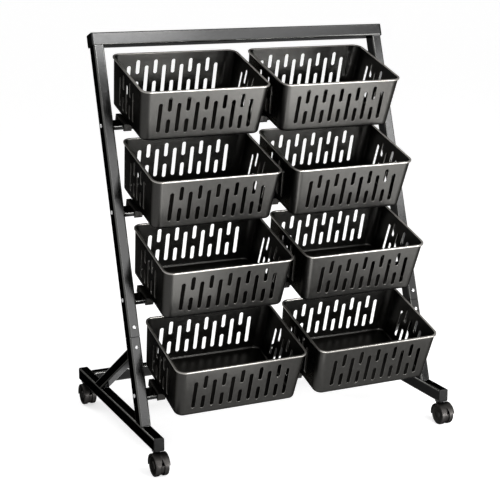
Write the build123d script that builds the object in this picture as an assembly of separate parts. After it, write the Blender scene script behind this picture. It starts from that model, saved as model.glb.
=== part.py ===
from build123d import *
import os
from math import cos, radians, sin

# Leaning display rack: two side frames on twin-wheel casters carry a top rail and
# four crossbars, and each crossbar carries two slotted baskets that lift off.
# Millimetres. X is the width, the front faces -Y, Z is up from the floor.

# Frame as a whole
lean_angle = 18.0               # posts lean back from the vertical

# Steel tubes
tube_width = 32.0               # across the frame, the same for posts, rails and braces
tube_wall = 2.0
tube_corner = 4.0               # outer corner radius
fit_clearance = 0.1             # between a plug or sleeve and the bore it sits in

# Posts, measured along the lean from the top of the base rail
post_depth = 45.0
post_headroom = 243.0           # highest crossbar to the top of the post
post_joint_height = 256.0       # where the lower and the upper post butt together
sleeve_length = 130.0
joint_bolt_offset = 30.0        # bolts above and below the joint

# Base rails
base_rail_length = 695.0
base_rail_height = 40.0
base_rail_clearance = 72.5      # floor to the underside of the rail
post_setback = 102.0            # front end of the base rail to the front of the post
stretcher_depth = 32.0
stretcher_inset = 35.0          # rear end of the base rail to the rear of the stretcher

# Braces
brace_depth = 32.0
brace_angle = 33.0              # above the horizontal
brace_foot = 474.0              # front end of the base rail to the brace's lower corner

# Top rail
top_rail_height = 40.0
spigot_in_post = 60.0
spigot_in_rail = 30.0
spigot_bolt_depth = 30.0        # below the post's top end

# End caps and end plugs
cap_thickness = 5.0
plug_thickness = 3.0
plug_length = 8.0

# Crossbars, one to a tier, placed along the lean by their centre lines
crossbar_depth = 44.0
crossbar_height = 15.0
crossbar_wall = 1.5
crossbar_corner = 3.0
lowest_crossbar = 85.0          # above the top of the base rail
lowest_tier_pitch = 284.0
tier_pitch = 264.0
tier_count = 4
insert_length = 22.0

# Bolts
bolt_radius = 3.0
bolt_head_radius = 6.0
bolt_head_height = 3.5
bolt_hole_clearance = 0.2

# Baskets
basket_tilt = 18.0              # rear higher than the front
basket_rim_width = 420.0
basket_rim_depth = 295.0
basket_side_draft = 12.0        # how far each side wall slants out from floor to rim
basket_end_draft = 5.0          # the same for the front and back walls
basket_height = 163.0
basket_corner = 25.0            # rounded upright corners, outside
basket_wall = 2.5
basket_foot_bevel = 6.0
rim_lip_width = 4.0
rim_lip_height = 5.0
basket_gap = 36.0               # between the rims of the two baskets of a tier
basket_side_gap = 30.0          # between a rim and the post beside it
seat_clearance = 0.3            # basket floor above the crossbar

# Basket slots
slot_width = 12.0
long_slot = 94.0
short_slot = 46.0
short_slot_gap = 25.0
long_slot_drop = 7.0            # long slots sit this much below the middle of the wall
slot_pitch = 29.3
front_slot_columns = 11
side_slot_columns = 5

# Saddles under each basket, which straddle the crossbar
saddle_width = 26.0
saddle_front_leg = 4.0
saddle_rear_leg = 30.0
saddle_drop = 3.0               # below the crossbar's underside
saddle_gap = 0.5                # to the crossbar, before and behind it
saddle_top = 5.0                # upper web that joins the saddle to the wall

# Casters
wheel_radius = 32.5
wheel_width = 14.5
wheel_bevel = 3.0
wheel_side_gap = 0.3
caster_inset = 20.0             # swivel axis from the end of the base rail
caster_trail = 20.0
hood_web = 12.0                 # disc between the two wheels
hood_web_radius = 29.5
hood_wall = 1.8
hood_gap = 1.2                  # over the tread
hood_edge_lift = 12.0           # trailing edge above the axle, as an angle round it
hood_boss_radius = 11.0
hood_notch_width = 12.0         # notch in the hood's trailing edge, between the wheels
hood_notch_height = 22.0
hood_notch_depth = 18.0
axle_radius = 4.0
axle_grip = 12.0                # how far the axle reaches into each wheel
stem_pin_radius = 4.0
stem_pin_length = 28.0
stem_collar_radius = 14.0
stem_collar_height = 4.0
stem_shank_radius = 6.0
stem_shank_length = 30.0
bush_radius = 10.0
running_clearance = 0.05

overrun = 5.0                   # how far a cutting shape runs past what it cuts


# Places worked out from the sizes above

basket_centre_x = (basket_rim_width + basket_gap) / 2
inner_width = 2 * (basket_rim_width + basket_side_gap) + basket_gap
frame_width = inner_width + 2 * tube_width

post_depth_level = post_depth / cos(radians(lean_angle))
base_top = base_rail_clearance + base_rail_height
tier_heights = [lowest_crossbar]
for tier in range(1, tier_count):
    step = lowest_tier_pitch if tier == 1 else tier_pitch
    tier_heights.append(tier_heights[-1] + step)
post_length = tier_heights[-1] + post_headroom

basket_seat = crossbar_height / 2 + seat_clearance
rim_rise = basket_seat + basket_height
tilt_reach = cos(radians(basket_tilt))
tilt_drop = sin(radians(basket_tilt))


def front_of_base_to(distance_up_post):
    """Level distance from the front end of the base rail to a point of the post's centre line."""
    return post_setback + post_depth_level / 2 + distance_up_post * sin(radians(lean_angle))


front_reach = front_of_base_to(lowest_crossbar) - rim_rise * tilt_drop - basket_rim_depth / 2 * tilt_reach
hood_radius = wheel_radius + hood_gap + hood_wall
rear_reach = base_rail_length + plug_thickness
base_front = -(front_reach + rear_reach) / 2
base_rear = base_front + base_rail_length
post_x = (frame_width - tube_width) / 2
sides = {"left": -1, "right": 1}


def post_plane(side, distance_up=0.0):
    """Plane across a post at a distance up its centre line: X across, Y backward, Z up the lean."""
    lean = radians(lean_angle)
    origin = (side * post_x, base_front + front_of_base_to(distance_up), base_top + distance_up * cos(lean))
    return Plane(origin=origin, x_dir=(1, 0, 0), z_dir=(0, sin(lean), cos(lean)))


def crossbar_plane(tier):
    """Plane at the middle of a crossbar, square to the baskets: Y backward and up, Z out of their floor."""
    tilt = radians(basket_tilt)
    middle = post_plane(0, tier_heights[tier]).origin
    return Plane(origin=middle, x_dir=(1, 0, 0), z_dir=(0, -sin(tilt), cos(tilt)))


def tube(width, depth, length, wall=tube_wall, corner=tube_corner):
    """Rectangular tube from Z zero up, with rounded outer corners."""
    outer = RectangleRounded(width, depth, corner)
    return extrude(outer - Rectangle(width - 2 * wall, depth - 2 * wall), length)


def rod(radius, length, start=0.0):
    """Round rod along Z from the start up."""
    return Pos(0, 0, start) * Cylinder(radius, length, align=(Align.CENTER, Align.CENTER, Align.MIN))


def bolt(length):
    """Round-headed bolt with its head above Z zero and its shank below."""
    return rod(bolt_head_radius, bolt_head_height) + rod(bolt_radius, length, -length)


def bolt_hole(depth):
    """Clearance hole from just outside Z zero down."""
    return rod(bolt_radius + bolt_hole_clearance, depth + overrun, -depth)


# Bolt places on a post, each a plane whose Z points out through the bolt's head

def facing_out(side, distance_up):
    """Middle of a post's outer face at a distance up its centre line."""
    middle = post_plane(side, distance_up)
    return Plane(middle.origin + Vector(side * tube_width / 2, 0, 0), x_dir=middle.z_dir, z_dir=(side, 0, 0))


def facing_front(side, distance_up):
    """Middle of a post's front face at a distance up its centre line."""
    middle = post_plane(side, distance_up)
    return Plane(middle.origin - middle.y_dir * (post_depth / 2), x_dir=(1, 0, 0), z_dir=-middle.y_dir)


def facing_rear(side, distance_up):
    """Middle of a post's rear face at a distance up its centre line."""
    middle = post_plane(side, distance_up)
    return Plane(middle.origin + middle.y_dir * (post_depth / 2), x_dir=(1, 0, 0), z_dir=middle.y_dir)


joint_bolt_heights = [post_joint_height - joint_bolt_offset, post_joint_height + joint_bolt_offset]
spigot_bolt_height = post_length - spigot_bolt_depth
joint_bolt_length = 2 * tube_wall + fit_clearance + bolt_head_height
crossbar_bolt_length = tube_width + insert_length / 2


def drilled(post, side, low, high):
    """A post with the bolt holes that fall between two heights."""
    for height in tier_heights:
        if low < height < high:
            post -= facing_out(side, height).location * bolt_hole(tube_width + overrun)
    for height in joint_bolt_heights:
        if low < height < high:
            post -= facing_front(side, height).location * bolt_hole(tube_wall + overrun)
    if low < spigot_bolt_height < high:
        post -= facing_rear(side, spigot_bolt_height).location * bolt_hole(tube_wall + overrun)
    return post


# Side frames

def base_rail(side):
    """Floor rail of one side, open at both ends, with a hole under each caster bush."""
    start = (side * post_x, base_front, base_top - base_rail_height / 2)
    along = Plane(start, x_dir=(1, 0, 0), z_dir=(0, 1, 0))
    rail = along.location * tube(tube_width, base_rail_height, base_rail_length)
    for y in (base_front + caster_inset, base_rear - caster_inset):
        rail -= Pos(side * post_x, y, base_rail_clearance) * rod(
            bush_radius + fit_clearance, tube_wall + 2 * overrun, -overrun
        )
    return rail


def lower_post(side):
    """Short post from the base rail to the joint, mitred to stand on the rail."""
    blank = tube(tube_width, post_depth, post_joint_height + post_depth)
    post = post_plane(side, -post_depth).location * blank
    post = split(post, bisect_by=Plane.XY.offset(base_top), keep=Keep.TOP)
    return drilled(post, side, 0, post_joint_height)


def upper_post(side):
    """Long post from the joint to the top rail."""
    blank = tube(tube_width, post_depth, post_length - post_joint_height)
    return drilled(post_plane(side, post_joint_height).location * blank, side, post_joint_height, post_length)


def post_sleeve(side):
    """Tube inside both posts that the joint bolts clamp."""
    width = tube_width - 2 * tube_wall - 2 * fit_clearance
    depth = post_depth - 2 * tube_wall - 2 * fit_clearance
    blank = Rectangle(width, depth) - Rectangle(width - 2 * tube_wall, depth - 2 * tube_wall)
    sleeve = post_plane(side, post_joint_height - sleeve_length / 2).location * extrude(blank, sleeve_length)
    for height in joint_bolt_heights:
        place = facing_front(side, height).location
        sleeve -= place * rod(bolt_radius, 3 * tube_wall, -3 * tube_wall)
    return sleeve


def brace(side):
    """Slanted tube from the base rail forward and up to the back of the lower post."""
    rise = radians(brace_angle)
    up = Vector(0, -cos(rise), sin(rise))
    foot = Vector(side * post_x, base_front + brace_foot, base_top)
    square = Vector(0, sin(rise), cos(rise))
    run = base_rail_length
    start = foot + square * (brace_depth / 2) - up * brace_depth * 2
    blank = Plane(origin=start, x_dir=(1, 0, 0), z_dir=up).location * tube(tube_width, brace_depth, run)
    blank = split(blank, bisect_by=Plane.XY.offset(base_top), keep=Keep.TOP)
    rear_face = facing_rear(side, 0)
    return split(blank, bisect_by=rear_face, keep=Keep.TOP)


def rear_stretcher():
    """Level tube between the two base rails near their rear ends."""
    y = base_rear - stretcher_inset - stretcher_depth / 2
    start = (-inner_width / 2, y, base_top - base_rail_height / 2)
    across = Plane(start, x_dir=(0, 1, 0), z_dir=(1, 0, 0))
    return across.location * tube(stretcher_depth, base_rail_height, inner_width)


def plug(width, depth, wall, thickness, length, corner=tube_corner):
    """End plug: a plate above Z zero and a block inside the tube below it."""
    plate = extrude(RectangleRounded(width, depth, corner), thickness)
    inside = 2 * (wall + fit_clearance)
    return plate + extrude(Rectangle(width - inside, depth - inside), -length)


def base_rail_plugs():
    """The four plugs in the ends of the base rails."""
    middle_z = base_top - base_rail_height / 2
    blank = plug(tube_width, base_rail_height, tube_wall, plug_thickness, plug_length)
    plugs = []
    for side in sides.values():
        for y, way in ((base_front, -1), (base_rear, 1)):
            place = Plane(origin=(side * post_x, y, middle_z), x_dir=(1, 0, 0), z_dir=(0, way, 0))
            plugs.append(place.location * blank)
    return plugs


# Top rail

def top_rail():
    """Rail across the tops of the posts, leaning with them, with an opening over each spigot."""
    across = post_plane(0, post_length + top_rail_height / 2)
    start = Plane(across.origin - Vector(frame_width / 2, 0, 0), x_dir=across.y_dir, z_dir=(1, 0, 0))
    rail = start.location * tube(post_depth, top_rail_height, frame_width)
    width = tube_width - 2 * tube_wall
    depth = post_depth - 2 * tube_wall - 2 * fit_clearance
    for side in sides.values():
        window = extrude(Rectangle(width, depth), tube_wall + overrun)
        rail -= post_plane(side, post_length - overrun).location * window
    return rail


def rail_end_cap(side):
    """Plastic cap that closes one end of the top rail."""
    across = post_plane(0, post_length + top_rail_height / 2)
    end = Plane(across.origin + Vector(side * frame_width / 2, 0, 0), x_dir=across.y_dir, z_dir=(side, 0, 0))
    return end.location * plug(post_depth, top_rail_height, tube_wall, cap_thickness, tube_wall)


def rail_spigot(side):
    """Block in the top of a post that reaches up into the top rail."""
    width = tube_width - 2 * tube_wall - 2 * fit_clearance
    depth = post_depth - 2 * tube_wall - 2 * fit_clearance
    blank = extrude(Rectangle(width, depth), spigot_in_post + spigot_in_rail)
    spigot = post_plane(side, post_length - spigot_in_post).location * blank
    place = facing_rear(side, spigot_bolt_height).location
    return spigot - place * rod(bolt_radius, joint_bolt_length + overrun, -joint_bolt_length - overrun)


# Crossbars

def crossbar(tier):
    """Flat tube between the posts, tilted like the basket floors that rest on it."""
    middle = crossbar_plane(tier)
    start = Plane(middle.origin - Vector(inner_width / 2, 0, 0), x_dir=middle.y_dir, z_dir=(1, 0, 0))
    return start.location * tube(crossbar_depth, crossbar_height, inner_width, crossbar_wall, crossbar_corner)


def crossbar_inserts():
    """Threaded blocks in both ends of every crossbar."""
    inside = 2 * (crossbar_wall + fit_clearance)
    blank = extrude(Rectangle(crossbar_depth - inside, crossbar_height - inside), -insert_length)
    blank -= rod(bolt_radius, insert_length, -insert_length)
    inserts = []
    for tier in range(tier_count):
        middle = crossbar_plane(tier)
        for side in sides.values():
            end = middle.origin + Vector(side * inner_width / 2, 0, 0)
            inserts.append(Plane(end, x_dir=middle.y_dir, z_dir=(side, 0, 0)).location * blank)
    return inserts


def crossbar_bolts():
    """One bolt through each post into each end of every crossbar."""
    return [
        facing_out(side, height).location * bolt(crossbar_bolt_length)
        for height in tier_heights
        for side in sides.values()
    ]


def joint_bolts():
    """Two bolts in the front of each post at its joint."""
    return [
        facing_front(side, height).location * bolt(joint_bolt_length)
        for height in joint_bolt_heights
        for side in sides.values()
    ]


def spigot_bolts():
    """One bolt in the back of each post that holds its spigot."""
    return [
        facing_rear(side, spigot_bolt_height).location * bolt(joint_bolt_length)
        for side in sides.values()
    ]


# Baskets

def tapered(top_width, top_depth, height, corner, bevel):
    """Block with flat drafted walls, its floor on Z zero, with rounded uprights and a bevelled foot."""
    wedge = Wedge(
        top_width, height, top_depth,
        basket_side_draft, basket_end_draft, top_width - basket_side_draft, top_depth - basket_end_draft,
    )
    block = Pos(0, 0, height / 2) * Rot(-90, 0, 0) * wedge
    uprights = block.edges().filter_by(lambda edge: edge.bounding_box().size.Z > height / 2)
    block = fillet(uprights, corner)
    return chamfer(block.faces().sort_by(Axis.Z)[0].edges(), bevel)


def slot_cutter(columns, reach):
    """Blocks that cut one pattern of slots through two opposite walls: X across, Y through."""
    cutters = []
    middle = basket_height / 2
    shift = (short_slot + short_slot_gap) / 2
    for column in range(columns):
        x = (column - (columns - 1) / 2) * slot_pitch
        if column % 2 == 0:
            cutters.append(Pos(x, 0, middle - long_slot_drop) * Box(slot_width, reach, long_slot))
        else:
            for way in (-1, 1):
                cutters.append(Pos(x, 0, middle + way * shift) * Box(slot_width, reach, short_slot))
    return cutters


def saddle():
    """Lug at one lower edge of a basket, with a slot from below for the crossbar; X runs outward."""
    front = crossbar_depth / 2 + saddle_gap + saddle_front_leg
    rear = crossbar_depth / 2 + saddle_gap + saddle_rear_leg
    drop = crossbar_height + seat_clearance + saddle_drop
    outline = Pos((rear - front) / 2, (saddle_top - drop) / 2) * Rectangle(front + rear, drop + saddle_top)
    bar_space = Pos(0, -drop / 2) * Rectangle(crossbar_depth + 2 * saddle_gap, drop)
    profile = Plane(origin=(0, 0, 0), x_dir=(0, 1, 0), z_dir=(1, 0, 0)).location * (outline - bar_space)
    return extrude(profile, saddle_width, dir=(-1, 0, 0))


def basket():
    """Slotted basket that widens upward, standing on Z zero, with its rim at the top."""
    wall = 2 * basket_wall
    top_width = basket_rim_width - 2 * rim_lip_width
    top_depth = basket_rim_depth - 2 * rim_lip_width
    body = tapered(top_width, top_depth, basket_height, basket_corner, basket_foot_bevel)
    rim = RectangleRounded(basket_rim_width, basket_rim_depth, basket_corner + rim_lip_width)
    body += extrude(Pos(0, 0, basket_height - rim_lip_height) * rim, rim_lip_height)
    for side in (-1, 1):
        lug = Pos(basket_rim_width / 2, 0, 0) * saddle()
        body += lug if side > 0 else mirror(lug, about=Plane.YZ)
    room = tapered(
        top_width - wall, top_depth - wall, basket_height - basket_wall,
        basket_corner - basket_wall, basket_foot_bevel - basket_wall,
    )
    body -= Pos(0, 0, basket_wall) * room
    body -= slot_cutter(front_slot_columns, basket_rim_depth)
    return body - [Rot(0, 0, 90) * cutter for cutter in slot_cutter(side_slot_columns, basket_rim_width)]


# Casters, each built with its swivel axis on Z, the floor at zero and its wheels trailing toward -Y

def caster_stem():
    """Steel stem: a shank up in the base rail, a collar under the rail and a pin down in the hood."""
    shank = rod(stem_shank_radius, stem_shank_length, base_rail_clearance)
    collar_low = base_rail_clearance - stem_collar_height
    collar = rod(stem_collar_radius, stem_collar_height, collar_low)
    return shank + collar + rod(stem_pin_radius, stem_pin_length, collar_low - stem_pin_length)


def caster_bush():
    """Threaded bush inside the base rail that the stem's shank screws into."""
    return rod(bush_radius, stem_shank_length, base_rail_clearance) - rod(
        stem_shank_radius, stem_shank_length, base_rail_clearance
    )


def across_wheels(radius, half_width):
    """Cylinder on the wheels' axis, to the same distance on both sides."""
    return Pos(0, -caster_trail, wheel_radius) * Rot(0, 90, 0) * Cylinder(radius, 2 * half_width)


def hood():
    """Moulded hood: a disc between the wheels, a cover over their upper halves and a boss for the stem."""
    inner = hood_radius - hood_wall
    half_width = hood_web / 2 + wheel_side_gap + wheel_width + wheel_bevel / 2
    lift = radians(hood_edge_lift)
    rim = Plane((0, -caster_trail, wheel_radius), x_dir=(1, 0, 0), z_dir=(0, sin(lift), cos(lift)))
    body = split(across_wheels(hood_radius, half_width), bisect_by=rim, keep=Keep.TOP)
    body += across_wheels(hood_web_radius, hood_web / 2)
    collar_low = base_rail_clearance - stem_collar_height
    body += rod(hood_boss_radius, collar_low - wheel_side_gap - wheel_radius, wheel_radius)
    room = Cylinder(inner, half_width, align=(Align.CENTER, Align.CENTER, Align.MIN))
    for side in (-1, 1):
        body -= Pos(side * hood_web / 2, -caster_trail, wheel_radius) * Rot(0, side * 90, 0) * room
    body -= rod(stem_pin_radius + running_clearance, collar_low, collar_low - stem_pin_length - 2 * hood_gap)
    edge_height = wheel_radius + hood_radius * sin(lift)
    edge = Plane((0, -caster_trail - hood_radius, edge_height), x_dir=(1, 0, 0), z_dir=(0, -1, 0))
    notch = Polyline(
        (-hood_notch_width / 2, -hood_wall), (hood_notch_width / 2, -hood_wall), (0, hood_notch_height),
        close=True,
    )
    cutter = Pos(0, 0, -hood_notch_depth) * extrude(make_face(notch), hood_notch_depth + overrun)
    body -= edge.location * cutter
    return body - across_wheels(axle_radius, hood_web)


def axle():
    """Steel pin fixed in the hood, with a wheel on each end."""
    return across_wheels(axle_radius, hood_web / 2 + axle_grip)


def wheel(side):
    """Moulded wheel with a bevelled outer edge and a blind bore from its inner face."""
    disc = Cylinder(wheel_radius, wheel_width, align=(Align.CENTER, Align.CENTER, Align.MIN))
    disc = chamfer(disc.edges().group_by(Axis.Z)[-1], wheel_bevel)
    bore = axle_grip + wheel_side_gap
    disc -= rod(axle_radius + running_clearance, bore)
    start = side * (hood_web / 2 + wheel_side_gap)
    return Pos(start, -caster_trail, wheel_radius) * Rot(0, side * 90, 0) * disc


# Writing one file for each node

def write(name, solids):
    """Write one node, a single piece or a group of like pieces."""
    pieces = solids if isinstance(solids, list) else [solids]
    group = Compound(children=[solid for piece in pieces for solid in piece.solids()])
    group.label = name
    export_step(group, f"parts/{name}.step")


os.makedirs("parts", exist_ok=True)

for side_name, side in sides.items():
    write(f"base_rail_{side_name}", base_rail(side))
    write(f"lower_post_{side_name}", lower_post(side))
    write(f"upper_post_{side_name}", upper_post(side))
    write(f"post_sleeve_{side_name}", post_sleeve(side))
    write(f"brace_{side_name}", brace(side))
    write(f"rail_spigot_{side_name}", rail_spigot(side))
    write(f"rail_end_cap_{side_name}", rail_end_cap(side))

write("rear_stretcher", rear_stretcher())
write("top_rail", top_rail())
write("base_rail_plugs", base_rail_plugs())
write("crossbar_inserts", crossbar_inserts())
write("crossbar_bolts", crossbar_bolts())
write("post_joint_bolts", joint_bolts())
write("rail_spigot_bolts", spigot_bolts())

moulding = basket()
for tier in range(tier_count):
    write(f"crossbar_{tier + 1}", crossbar(tier))
    seat = crossbar_plane(tier).offset(basket_seat)
    for side_name, side in sides.items():
        place = Location((side * basket_centre_x, 0, 0)) * seat.location
        write(f"basket_{tier + 1}_{side_name}", place * moulding)

caster_ends = {"front": base_front + caster_inset, "rear": base_rear - caster_inset}
bushes = []
for side_name, side in sides.items():
    for end_name, y in caster_ends.items():
        place = Location((side * post_x, y, 0))
        name = f"{end_name}_{side_name}"
        write(f"caster_stem_{name}", place * caster_stem())
        write(f"caster_hood_{name}", place * hood())
        write(f"caster_axle_{name}", place * axle())
        write(f"wheel_outer_{name}", place * wheel(side))
        write(f"wheel_inner_{name}", place * wheel(-side))
        bushes.append(place * caster_bush())
write("caster_bushes", bushes)
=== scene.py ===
from math import cos, pi, radians, sin

import bpy
import numpy as np
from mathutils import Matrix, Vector


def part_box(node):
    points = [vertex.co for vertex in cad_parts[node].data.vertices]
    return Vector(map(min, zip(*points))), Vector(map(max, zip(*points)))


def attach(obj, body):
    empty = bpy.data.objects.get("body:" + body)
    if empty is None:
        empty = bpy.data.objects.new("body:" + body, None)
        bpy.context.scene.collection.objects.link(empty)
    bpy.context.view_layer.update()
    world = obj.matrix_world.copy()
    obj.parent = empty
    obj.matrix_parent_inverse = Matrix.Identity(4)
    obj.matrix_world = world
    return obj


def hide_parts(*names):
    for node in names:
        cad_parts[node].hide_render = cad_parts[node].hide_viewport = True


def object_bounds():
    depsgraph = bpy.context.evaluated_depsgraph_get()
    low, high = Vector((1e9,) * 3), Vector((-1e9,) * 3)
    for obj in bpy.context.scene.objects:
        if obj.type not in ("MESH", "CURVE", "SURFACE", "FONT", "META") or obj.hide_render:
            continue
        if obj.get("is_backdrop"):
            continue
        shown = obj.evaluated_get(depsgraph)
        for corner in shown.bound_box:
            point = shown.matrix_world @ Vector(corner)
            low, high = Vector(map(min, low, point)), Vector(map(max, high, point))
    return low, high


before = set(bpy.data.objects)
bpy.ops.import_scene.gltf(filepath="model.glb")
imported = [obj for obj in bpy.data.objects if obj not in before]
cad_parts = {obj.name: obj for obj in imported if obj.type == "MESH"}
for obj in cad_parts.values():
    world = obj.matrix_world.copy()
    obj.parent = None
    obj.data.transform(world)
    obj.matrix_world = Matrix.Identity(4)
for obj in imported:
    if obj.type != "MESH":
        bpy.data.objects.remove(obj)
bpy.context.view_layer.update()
sides = {"left": -1, "right": 1}


# Base rails
# Two rectangular steel tubes lie front to back, one under each side of the rack.
# They are cut square, welded to the posts and braces, and powder-coated satin black.

tube_width = 0.032
tube_corner = 0.004
base_rail_height = 0.040
rail_low, rail_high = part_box("base_rail_left")
base_front, base_rear, base_top = rail_low.y, rail_high.y, rail_high.z
base_middle = base_top - base_rail_height / 2
post_x = -(rail_low.x + rail_high.x) / 2


def group(name, inputs, outputs):
    """Shader node group with named number inputs, each with a start value, and named number outputs."""
    tree = bpy.data.node_groups.new(name, "ShaderNodeTree")
    for label, value in inputs.items():
        tree.interface.new_socket(label, in_out="INPUT", socket_type="NodeSocketFloat").default_value = value
    for label in outputs:
        tree.interface.new_socket(label, in_out="OUTPUT", socket_type="NodeSocketFloat")
    return tree, tree.nodes.new("NodeGroupInput").outputs, tree.nodes.new("NodeGroupOutput").inputs


def node(tree, kind, inputs, **settings):
    """One shader node: settings are its properties, and each input takes a value or another node's output."""
    made = tree.nodes.new("ShaderNode" + kind)
    for label, value in settings.items():
        setattr(made, label, value)
    for socket, value in inputs.items():
        if isinstance(value, bpy.types.NodeSocket):
            tree.links.new(value, made.inputs[socket])
        else:
            made.inputs[socket].default_value = value
    return made.outputs


def noise(tree, scale, detail, roughness=0.55):
    """Cloudy noise from 0 to 1 on the object's own coordinates."""
    place = node(tree, "TexCoord", {})["Object"]
    return node(tree, "TexNoise", {
        "Vector": place, "Scale": scale, "Detail": detail, "Roughness": roughness,
    })["Fac"]


# Grain is the small relief of a sprayed or moulded skin: fine noise over coarser noise.
coarse_share = 0.35
grain_tree, given, result = group("skin_grain", {"Scale": 900.0, "Coarse Scale": 60.0}, ["Height", "Cloud"])
fine = noise(grain_tree, given["Scale"], 2.0)
coarse = noise(grain_tree, given["Coarse Scale"], 3.0)
both = node(grain_tree, "Math", {0: coarse, 1: coarse_share, 2: fine}, operation="MULTIPLY_ADD")[0]
grain_tree.links.new(both, result["Height"])
grain_tree.links.new(coarse, result["Cloud"])

# Rubbing lightens a skin in broken patches along the edges that hands and boxes touch. The same light patches
# also stand in as a painted highlight along rounded tube edges and basket rims.
patch_fade = 0.25
rub_and_highlight_tree, given, result = group("rubbed_edges_and_painted_highlight", {"Edge": 0.0, "Scale": 70.0, "Cover": 0.4}, ["Mask"])
patches = noise(rub_and_highlight_tree, given["Scale"], 6.0, 0.7)
start = node(rub_and_highlight_tree, "Math", {0: 1.0, 1: given["Cover"]}, operation="SUBTRACT")[0]
end = node(rub_and_highlight_tree, "Math", {0: start, 1: patch_fade}, operation="ADD")[0]
rub_and_highlight = node(rub_and_highlight_tree, "MapRange", {
    "Value": patches, "From Min": start, "From Max": end, "To Min": 0.0, "To Max": 1.0,
}, interpolation_type="SMOOTHSTEP")[0]
masked = node(rub_and_highlight_tree, "Math", {0: rub_and_highlight, 1: given["Edge"]}, operation="MULTIPLY")[0]
rub_and_highlight_tree.links.new(masked, result["Mask"])

# Dust settles on what faces up, thinner where the noise is low.
dust_colour = (0.42, 0.40, 0.37, 1)
dust_roughening = 0.6
dust_tree, given, result = group("settled_dust", {"Facing Up": 0.0, "Amount": 0.1, "Scale": 14.0}, ["Mask"])
drift = noise(dust_tree, given["Scale"], 5.0, 0.65)
lying = node(dust_tree, "MapRange", {
    "Value": given["Facing Up"], "From Min": 0.3, "From Max": 1.0, "To Min": 0.0, "To Max": given["Amount"],
})[0]
thin = node(dust_tree, "Math", {0: lying, 1: drift}, operation="MULTIPLY")[0]
dust_tree.links.new(thin, result["Mask"])


def finish(name, colour, cloud_colour, rough, shiny, grain, relief, graze=0.3, rub_and_highlight=None, dust=0.0):
    """Material of one skin. Its colour drifts to the cloud colour and its roughness between two values. Its
    relief follows the grain, a pair of colour and cover lightens the rubbed edges, as wear and as a painted
    highlight along them, and dust lies on top. The colour is what the skin mirrors face on, and graze is its
    share of the mirroring at a flat angle."""
    material = bpy.data.materials.new(name)
    material.use_nodes = True
    tree = material.node_tree
    shader = tree.nodes["Principled BSDF"]
    skin = node(tree, "Group", {"Scale": grain, "Coarse Scale": grain / 14}, node_tree=grain_tree)
    tone = node(tree, "Mix", {0: skin["Cloud"], 6: colour, 7: cloud_colour}, data_type="RGBA")[2]
    rough_value = node(tree, "MapRange", {
        "Value": skin["Cloud"], "From Min": 0.3, "From Max": 0.7, "To Min": shiny, "To Max": rough,
    })[0]
    if rub_and_highlight:
        edge = node(tree, "Attribute", {}, attribute_name="edge")["Fac"]
        mask = node(tree, "Group", {"Edge": edge, "Cover": rub_and_highlight[1]}, node_tree=rub_and_highlight_tree)["Mask"]
        tone = node(tree, "Mix", {0: mask, 6: tone, 7: rub_and_highlight[0]}, data_type="RGBA")[2]
    if dust:
        facing = node(tree, "SeparateXYZ", {0: node(tree, "NewGeometry", {})["Normal"]})["Z"]
        lying = node(tree, "Group", {"Facing Up": facing, "Amount": dust}, node_tree=dust_tree)["Mask"]
        tone = node(tree, "Mix", {0: lying, 6: tone, 7: dust_colour}, data_type="RGBA")[2]
        rough_value = node(
            tree, "Math", {0: lying, 1: dust_roughening, 2: rough_value}, operation="MULTIPLY_ADD",
        )[0]
    tree.links.new(tone, shader.inputs["Base Color"])
    tree.links.new(rough_value, shader.inputs["Roughness"])
    bump = node(tree, "Bump", {"Height": skin["Height"], "Distance": relief, "Strength": 1.0})[0]
    tree.links.new(bump, shader.inputs["Normal"])
    shader.inputs["Metallic"].default_value = 1.0
    shader.inputs["Specular Tint"].default_value = (graze, graze, graze, 1)
    return material


# The rubbed edge colour, four times lighter than the coat, lies in nearly unbroken lines on the tubes' rounded
# corners: partly wear, partly a painted highlight along the edges.
frame_coat = finish(
    "frame_coat", (0.021, 0.021, 0.021, 1), (0.026, 0.026, 0.026, 1),
    rough=0.16, shiny=0.11, grain=700.0, relief=0.00005,
    rub_and_highlight=((0.085, 0.085, 0.082, 1), 0.78), dust=0.05,
)


def outline(width, depth, corner, inset=0.0, steps=5, guard=0.0012):
    """Rounded rectangle, anticlockwise: core corners plus a quarter circle of the corner radius, with a guard
    point on the flat beside each end of the quarter. Returns the points and 1 where they are on a quarter."""
    radius = corner - inset
    core = np.array([width, depth]) / 2 - corner
    angles = np.linspace(0, pi / 2, steps + 1)
    arc = np.stack([np.cos(angles), np.sin(angles)], 1) * radius
    arc = np.vstack([[radius, -guard], arc, [-guard, radius]])
    on_arc = np.r_[0, np.ones(steps + 1), 0]
    turns = []
    for quarter in range(4):
        c, s = round(cos(quarter * pi / 2)), round(sin(quarter * pi / 2))
        turned = arc @ np.array([[c, s], [-s, c]])
        turns.append(turned + core * np.sign([c - s, c + s]))
    return np.vstack(turns), np.tile(on_arc, 4)


def ring_faces(count, rings, first=0):
    """Quads that join rings of points one after the other, each ring closed round."""
    here = np.arange(count)
    after = (here + 1) % count
    return np.concatenate([
        np.stack([here, after, after + count, here + count], 1) + first + step * count
        for step in range(rings - 1)
    ]).tolist()


def closed(count, rings, first=0):
    """Quads of a stack of rings, and a flat face over the first and the last ring."""
    last = first + (rings - 1) * count
    low = list(range(first + count - 1, first - 1, -1))
    return ring_faces(count, rings, first) + [low, list(range(last, last + count))]


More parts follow.
